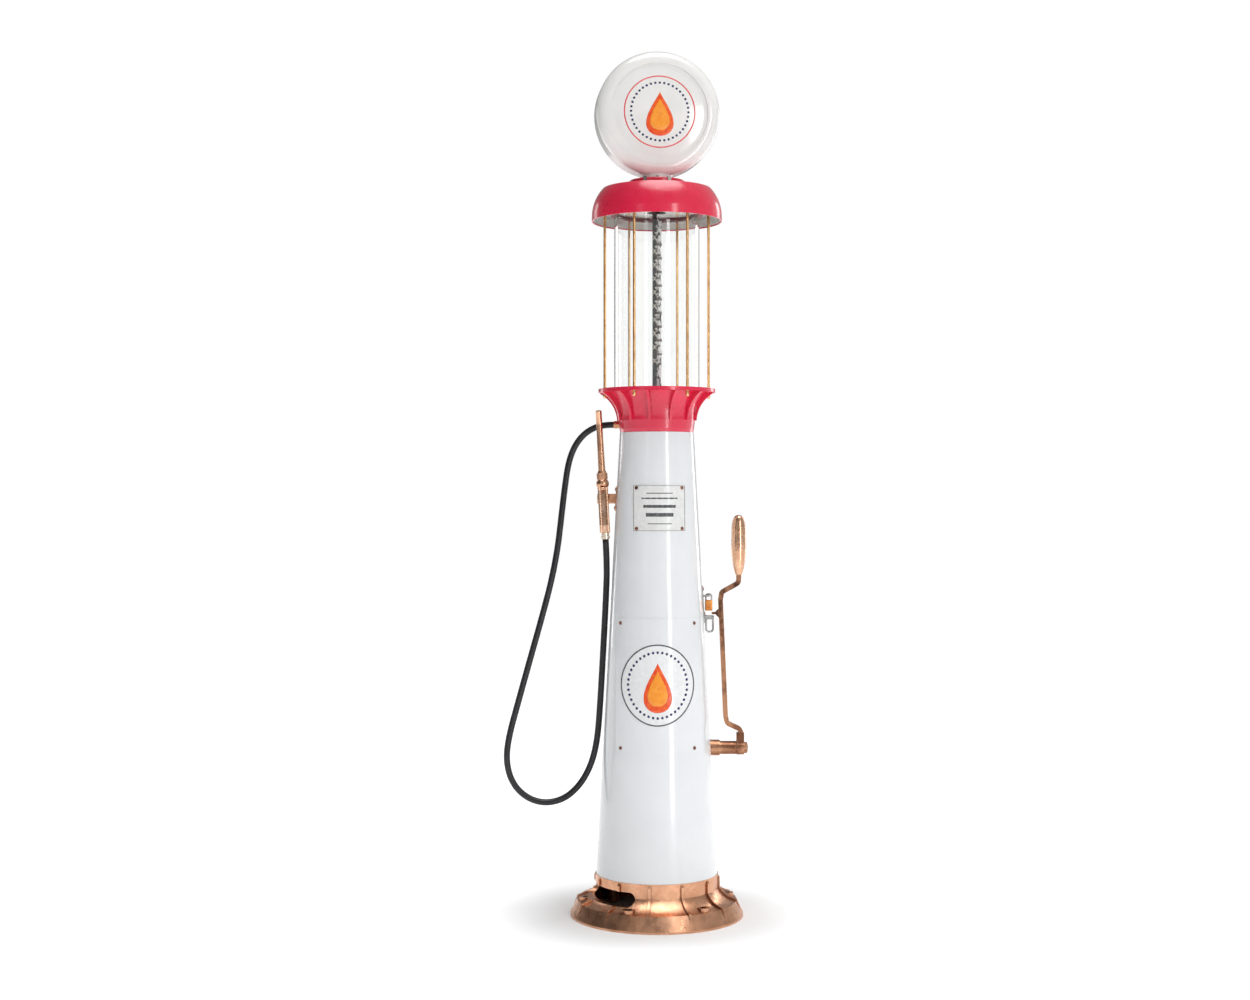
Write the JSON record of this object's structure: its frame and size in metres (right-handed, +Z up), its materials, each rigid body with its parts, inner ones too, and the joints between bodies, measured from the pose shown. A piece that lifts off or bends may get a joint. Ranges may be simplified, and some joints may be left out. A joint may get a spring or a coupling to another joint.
{
  "type": "gas pump",
  "caption": "Visible gas pump: tapered column on a ribbed base, hand lever pump, glass measuring cylinder, round lamp globe, and a hose with a nozzle on its hook.",
  "frame": {"origin": "centre of the base's underside, which is the centre of the anchor bolt circle", "axes": "+Z up; -Y is the front, where the door and plates are; +X is the lever side and -X the hose side"},
  "size_m": [0.8332, 0.588, 2.9362],
  "materials": {
    "copper_casting": "cast, copper-coloured paint with a satin sheen",
    "white_enamel": "glossy white enamel on rolled steel",
    "red_enamel": "glossy crimson enamel on cast iron",
    "liner_enamel": "satin white enamel",
    "emblem_plate": "baked enamel on sheet",
    "plate_metal": "etched plate, pale",
    "dark_screws": "dulled screw heads",
    "glass": "clear, polished",
    "gasket_rubber": "dark red rubber",
    "nickel": "dull nickel plate",
    "gold_rods": "polished brass",
    "milk_glass": "opal white glass, glossy",
    "lamp_parts": "glazed porcelain",
    "lamp_glass": "frosted lamp glass",
    "gauge_black": "black enamel strip",
    "gauge_cream": "cream enamel markers",
    "gauge_clip": "darkened spring clips",
    "pipe_steel": "galvanised pipe",
    "copper_fittings": "aged copper-coloured fittings",
    "nozzle_copper": "polished copper-coloured casting",
    "trigger_metal": "copper-coloured pressing",
    "ferrule_cream": "pale crimped ferrule",
    "pump_iron": "machined and oiled cast iron",
    "pump_brass": "machined brass",
    "machined_steel": "ground steel",
    "lever_bronze": "copper-coloured paint, darker towards the grip",
    "lock_steel": "dull plated steel",
    "padlock_copper": "orange copper lacquer",
    "hose_rubber": "black rubber, faint sheen"
  },
  "bodies": {
    "stand": {"base_casting": "copper_casting", "column_shell": "white_enamel", "access_door": "white_enamel", "column_emblem": "emblem_plate", "name_plate": "plate_metal", "cover_screws": "dark_screws", "crown_casting": "red_enamel", "glass_cylinder": "glass", "glass_gasket_lower": "gasket_rubber", "glass_gasket_upper": "gasket_rubber", "cylinder_head": "nickel", "tie_rods": "gold_rods", "rod_nuts_lower": "gold_rods", "rod_nuts_upper": "gold_rods", "dome_cap": "red_enamel", "cap_liner": "liner_enamel", "globe_collar": "red_enamel", "collar_clips": "nickel", "globe_body": "milk_glass", "globe_lens_front": "milk_glass", "globe_lens_rear": "milk_glass", "globe_bolts": "nickel", "lamp_socket": "lamp_parts", "lamp_bulb": "lamp_glass", "gauge_strip": "gauge_black", "gauge_markers": "gauge_cream", "gauge_clips": "gauge_clip", "overflow_pipe": "pipe_steel", "delivery_pipe": "pipe_steel", "dispense_pipe": "pipe_steel", "suction_pipe": "pipe_steel", "hose_outlet": "copper_fittings", "pump_cylinder": "pump_iron", "pump_head": "pump_iron", "pump_frame": "pump_iron", "foot_valve": "pump_iron", "shaft_bush": "pump_brass", "shaft_hub": "lever_bronze", "lever_keeper": "lock_steel", "bracket_screws": "dark_screws", "nozzle_hook": "copper_fittings", "hose": "hose_rubber"},
    "lever": {"pinion": "pump_iron", "lever_shaft": "machined_steel", "lever_bar": "lever_bronze", "lever_grip": "lever_bronze", "shaft_nut": "lever_bronze"},
    "plunger": {"piston": "pump_brass", "rack_rod": "machined_steel"},
    "piston_valve": {"piston_valve_disc": "pump_brass"},
    "foot_valve_plate": {"foot_valve_disc": "pump_brass"},
    "nozzle": {"nozzle_body": "nozzle_copper", "spout_nut": "copper_fittings", "nozzle_spout": "nozzle_copper", "hose_ferrule": "ferrule_cream"},
    "trigger": {"nozzle_trigger": "trigger_metal"},
    "stem": {"valve_stem": "pump_brass"},
    "link": {"hasp_link": "lock_steel"},
    "shackle": {"padlock_shackle": "lock_steel"},
    "padlock": {"padlock_body": "padlock_copper"}
  },
  "joints": [
    {"name": "lever_swing", "type": "hinge", "parent": "stand", "child": "lever", "pos_m": [0.28, 0, 0.566], "axis": [1, 0, 0], "range_deg": [-38, 38]},
    {"name": "pump_stroke", "type": "slide", "parent": "stand", "child": "plunger", "axis": [0, 0, 1], "range_m": [-0.04, 0.04]},
    {"name": "piston_valve_lift", "type": "slide", "parent": "plunger", "child": "piston_valve", "axis": [0, 0, 1], "range_m": [0, 0.006]},
    {"name": "foot_valve_lift", "type": "slide", "parent": "stand", "child": "foot_valve_plate", "axis": [0, 0, 1], "range_m": [0, 0.006]},
    {"name": "nozzle_lift", "type": "slide", "parent": "stand", "child": "nozzle", "axis": [0, -0.8, 0.6], "range_m": [0, 0.12]},
    {"name": "trigger_squeeze", "type": "hinge", "parent": "nozzle", "child": "trigger", "pos_m": [-0.18403, -0.026, 1.44803], "axis": [0.9985, 0, 0.0541], "range_deg": [0, 7], "stiffness_Nm_per_rad": 2, "springref_deg": -5.73},
    {"name": "stem_push", "type": "slide", "parent": "nozzle", "child": "stem", "axis": [0, 1, 0], "range_m": [0, 0.0045]},
    {"name": "link_swing", "type": "hinge", "parent": "stand", "child": "link", "pos_m": [0.18, 0, 1.01], "axis": [1, 0, 0], "range_deg": [-85, 0]},
    {"name": "padlock_swing", "type": "hinge", "parent": "stand", "child": "shackle", "pos_m": [0.177, 0, 1.084], "axis": [0, 1, 0], "range_deg": [-14, 1]},
    {"name": "shackle_pull", "type": "slide", "parent": "shackle", "child": "padlock", "axis": [0, 0, -1], "range_m": [0, 0.003]}
  ],
  "couplings": [
    {"joint": "pump_stroke", "follows": "lever_swing", "m_per_rad": 0.06},
    {"joint": "stem_push", "follows": "trigger_squeeze", "m_per_rad": 0.034}
  ]
}
